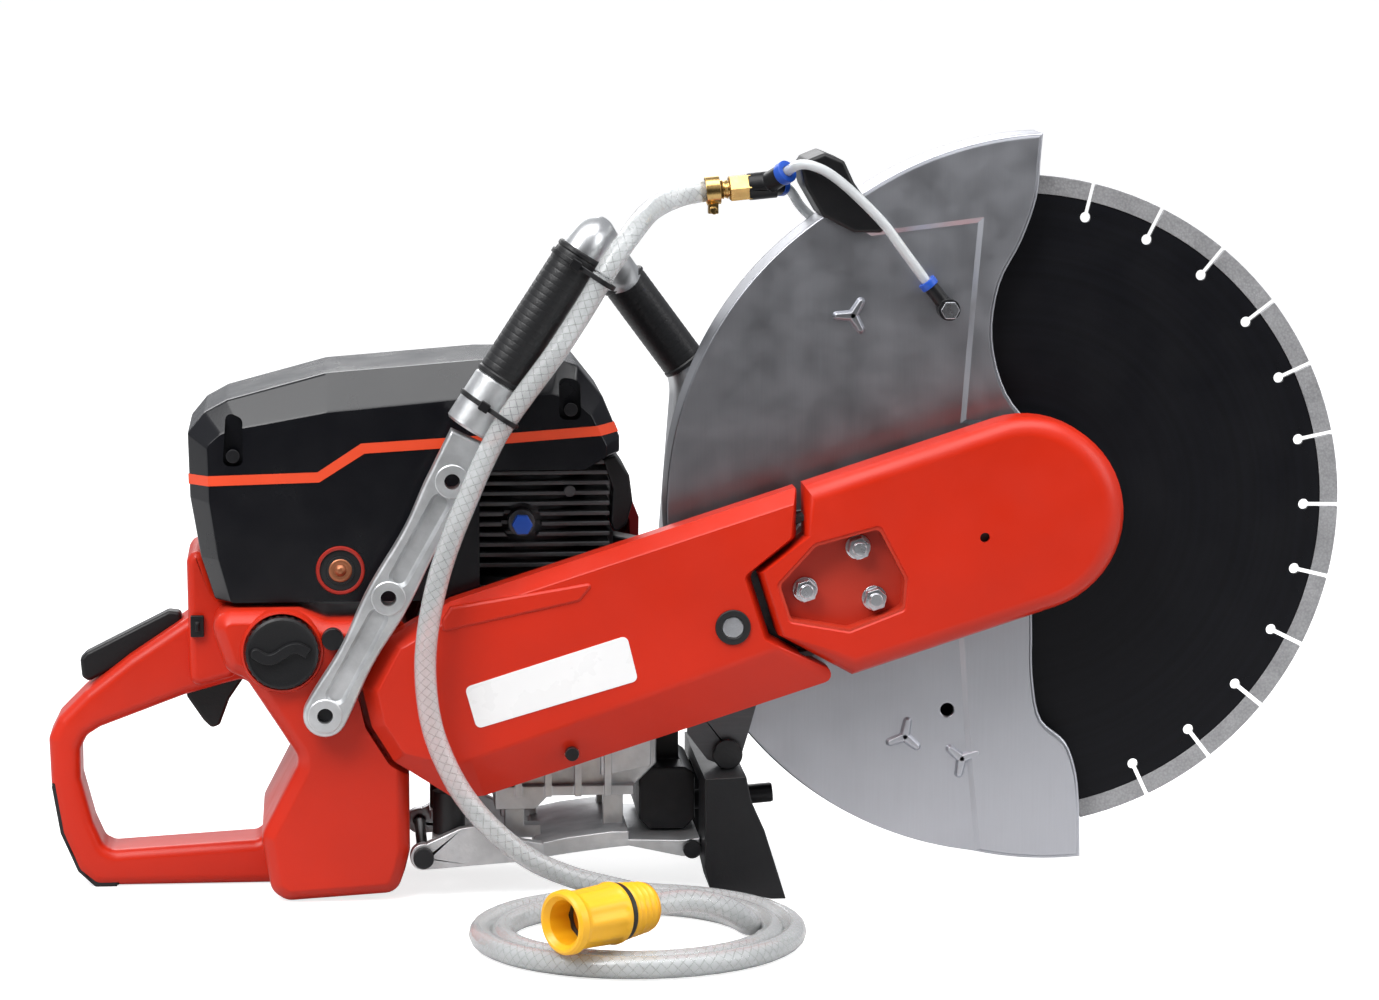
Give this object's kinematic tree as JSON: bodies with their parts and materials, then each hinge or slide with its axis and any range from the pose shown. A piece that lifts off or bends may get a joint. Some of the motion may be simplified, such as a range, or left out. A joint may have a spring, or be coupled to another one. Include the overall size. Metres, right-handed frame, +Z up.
{
  "type": "rescue saw",
  "caption": "Petrol rescue saw with a slotted cutting blade, tilting guard, belt-drive arm, wraparound handle and a coiled water hose with a snap connector.",
  "frame": {"origin": "middle of the footprint's bounding box, on the floor, measured without the loose hose", "axes": "+X forward along the cutting arm to the blade, +Z up, -Y the operator's right side with the belt cover"},
  "size_m": [0.786, 0.4098, 0.4568],
  "materials": {
    "red_plastic": "satin moulded red-orange",
    "dark_red_plastic": "satin moulded dark red",
    "orange_trim": "satin",
    "graphite_plastic": "satin, fine grain",
    "black_rubber": "matt",
    "black_plastic": "fine grain",
    "black_metal": "heat resistant black",
    "copper_brass": "worn",
    "brass": "machined",
    "filter_foam": "pleated paper",
    "cast_aluminium": "die cast",
    "aluminium_tube": "drawn",
    "sheet_aluminium": "satin",
    "dark_steel": "phosphated",
    "zinc_steel": "zinc plated",
    "white_label": "printed film, blank",
    "clear_hose": "clear braided PVC",
    "clear_tube": "clear polyurethane",
    "yellow_plastic": "satin",
    "blue_plastic": "satin",
    "blade_black": "satin black coating",
    "segment_metal": "sintered, ground"
  },
  "bodies": {
    "saw": {"rear_housing": "red_plastic", "rear_skid": "black_rubber", "filter_cover": "graphite_plastic", "cover_trim": "orange_trim", "primer_bulb": "copper_brass", "filter_element": "filter_foam", "carburettor": "cast_aluminium", "cylinder": "cast_aluminium", "spark_plug": "black_plastic", "muffler": "black_metal", "crankcase": "cast_aluminium", "engine_cradle": "cast_aluminium", "support_foot": "black_plastic", "rubber_mounts": "black_rubber", "starter_housing": "dark_red_plastic", "handle_bracket": "cast_aluminium", "handle_tube": "aluminium_tube", "handle_grips": "black_rubber", "machine_screws": "black_metal", "support_arm": "dark_steel", "bearing_arm": "cast_aluminium", "arm_nuts": "zinc_steel", "rear_cover": "red_plastic", "front_cover": "red_plastic", "label_plate": "white_label", "spindle_bearings": "zinc_steel", "zip_ties": "black_plastic", "drive_belt": "black_rubber", "hose_run": "clear_hose", "hose_coil": "clear_hose", "hose_tail": "clear_hose", "quick_connector": "yellow_plastic", "connector_ring": "black_plastic"},
    "guard_assembly": {"guard": "sheet_aluminium", "guard_handle": "black_plastic", "tube_elbows": "black_plastic", "banjo_screws": "zinc_steel", "y_connector": "black_plastic", "tube_collars": "blue_plastic", "water_tubes": "clear_tube", "hose_barb": "brass", "hose_clamp": "zinc_steel", "hose_upper": "clear_hose"},
    "blade_set": {"spindle": "zinc_steel", "driven_pulley": "zinc_steel", "blade_flanges": "zinc_steel", "blade_core": "blade_black", "blade_segments": "segment_metal", "blade_bolt": "zinc_steel"},
    "crank_set": {"crankshaft": "zinc_steel", "flywheel": "cast_aluminium", "clutch_hub": "dark_steel"},
    "drum": {"clutch_drum": "dark_steel"},
    "trigger": {"throttle_trigger": "black_plastic"},
    "lockout": {"throttle_lockout": "black_plastic"},
    "switch": {"stop_switch": "black_plastic"},
    "choke": {"choke_knob": "black_plastic"},
    "valve": {"decompression_valve": "blue_plastic"},
    "cap": {"fuel_cap": "black_plastic"},
    "starter": {"starter_grip": "black_plastic"}
  },
  "joints": [
    {"name": "blade_spin", "type": "hinge", "parent": "saw", "child": "blade_set", "pos_m": [0.193, -0.032, 0.231], "axis": [0, 1, 0], "continuous": true},
    {"name": "drum_spin", "type": "hinge", "parent": "saw", "child": "drum", "pos_m": [-0.112, -0.066, 0.133], "axis": [0, 1, 0], "continuous": true},
    {"name": "crank_spin", "type": "hinge", "parent": "saw", "child": "crank_set", "pos_m": [-0.112, 0, 0.133], "axis": [0, 1, 0], "continuous": true},
    {"name": "guard_tilt", "type": "hinge", "parent": "saw", "child": "guard_assembly", "pos_m": [0.193, -0.032, 0.231], "axis": [0, 1, 0], "range_deg": [-8, 25], "deforming": ["hose_upper"]},
    {"name": "trigger_pull", "type": "hinge", "parent": "saw", "child": "trigger", "pos_m": [-0.279, 0, 0.136], "axis": [0, 1, 0], "range_deg": [0, 14], "stiffness_Nm_per_rad": 0.35, "springref_deg": -8.59},
    {"name": "lockout_press", "type": "hinge", "parent": "saw", "child": "lockout", "pos_m": [-0.318, 0, 0.158], "axis": [0, -1, 0], "range_deg": [0, 8], "stiffness_Nm_per_rad": 0.3, "springref_deg": -11.46},
    {"name": "stop_slide", "type": "slide", "parent": "saw", "child": "switch", "axis": [1, 0, 0], "range_m": [0, 0.004]},
    {"name": "choke_pull", "type": "slide", "parent": "saw", "child": "choke", "axis": [0, -1, 0], "range_m": [0, 0.012]},
    {"name": "valve_press", "type": "slide", "parent": "saw", "child": "valve", "axis": [0, 1, 0], "range_m": [0, 0.003], "stiffness_N_per_m": 400, "springref_m": -0.002},
    {"name": "cap_turn", "type": "hinge", "parent": "saw", "child": "cap", "pos_m": [-0.251, -0.08, 0.153], "axis": [0, -1, 0], "range_deg": [0, 90]},
    {"name": "starter_pull", "type": "slide", "parent": "saw", "child": "starter", "axis": [0, 0, 1], "range_m": [0, 0.06], "stiffness_N_per_m": 40, "springref_m": -0.02}
  ],
  "couplings": [
    {"joint": "drum_spin", "follows": "blade_spin", "ratio": 1.7692}
  ]
}
